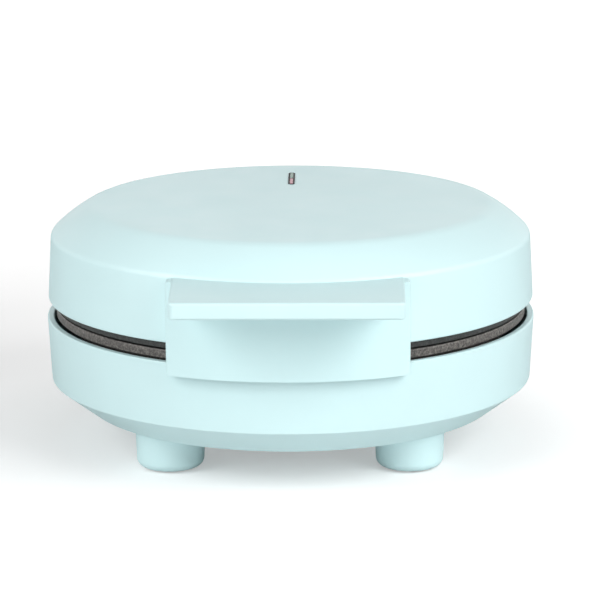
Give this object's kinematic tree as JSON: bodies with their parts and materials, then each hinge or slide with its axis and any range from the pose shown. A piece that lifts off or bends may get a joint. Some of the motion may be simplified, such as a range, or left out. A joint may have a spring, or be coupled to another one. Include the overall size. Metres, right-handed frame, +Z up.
{
  "type": "bubble waffle maker",
  "caption": "Countertop bubble waffle maker: round body on four feet, hinged lid with a wide handle, and two cast non-stick plates with round wells.",
  "frame": {"origin": "on the table, under the middle of the whole part's box; the round body's axis is 9.25 mm towards the hinge", "axes": "+Z up, +Y from the handle at the front to the hinge at the rear, +X to the right as seen from the front"},
  "size_m": [0.2211, 0.2714, 0.1092],
  "materials": {
    "black_plastic": "moulded",
    "bush_nylon": "nylon",
    "ceramic": "glazed insulator",
    "green_lens": "clear tinted",
    "heater_sheath": "annealed sheath",
    "lamp_carrier": "moulded",
    "lamp_glass": "clear",
    "lead_insulation": "insulated wire",
    "mint_plastic": "satin moulded",
    "pad_rubber": "matte",
    "plate_coating": "non-stick coated casting",
    "red_lens": "clear tinted",
    "screw_steel": "zinc plated",
    "shield_steel": "pressed sheet",
    "sleeve": "glass-fibre sleeve"
  },
  "bodies": {
    "base": {"lower_housing": "mint_plastic", "foot_pads": "pad_rubber", "lower_plate": "plate_coating", "lower_plate_screws": "screw_steel", "lower_heater": "heater_sheath", "lower_heater_terminals": "ceramic", "lower_heat_shield": "shield_steel", "thermostat": "black_plastic", "thermostat_strap": "shield_steel", "thermostat_screws": "screw_steel", "terminal_block": "ceramic", "thermal_fuse": "sleeve", "fuse_clip": "shield_steel", "earth_screw": "screw_steel", "cord_gland": "pad_rubber", "cord_clamp": "black_plastic", "cord_clamp_screws": "screw_steel", "hinge_pins": "screw_steel", "hinge_conduit": "sleeve", "lower_leads": "lead_insulation", "supply_leads": "lead_insulation"},
    "lid": {"upper_housing": "mint_plastic", "handle": "mint_plastic", "handle_screws": "screw_steel", "upper_plate": "plate_coating", "upper_plate_screws": "screw_steel", "upper_heater": "heater_sheath", "upper_heater_terminals": "ceramic", "upper_heat_shield": "shield_steel", "hinge_bushes": "bush_nylon", "window_bezel": "black_plastic", "green_lens": "green_lens", "red_lens": "red_lens", "lamp_holder": "lamp_carrier", "lamp_holder_screws": "screw_steel", "signal_lamps": "lamp_glass", "upper_leads": "lead_insulation"}
  },
  "joints": [
    {"name": "lid_hinge", "type": "hinge", "parent": "base", "child": "lid", "pos_m": [0, 0.12825, 0.0632], "axis": [-1, 0, 0], "range_deg": [0, 100], "deforming": ["hinge_conduit"]}
  ]
}
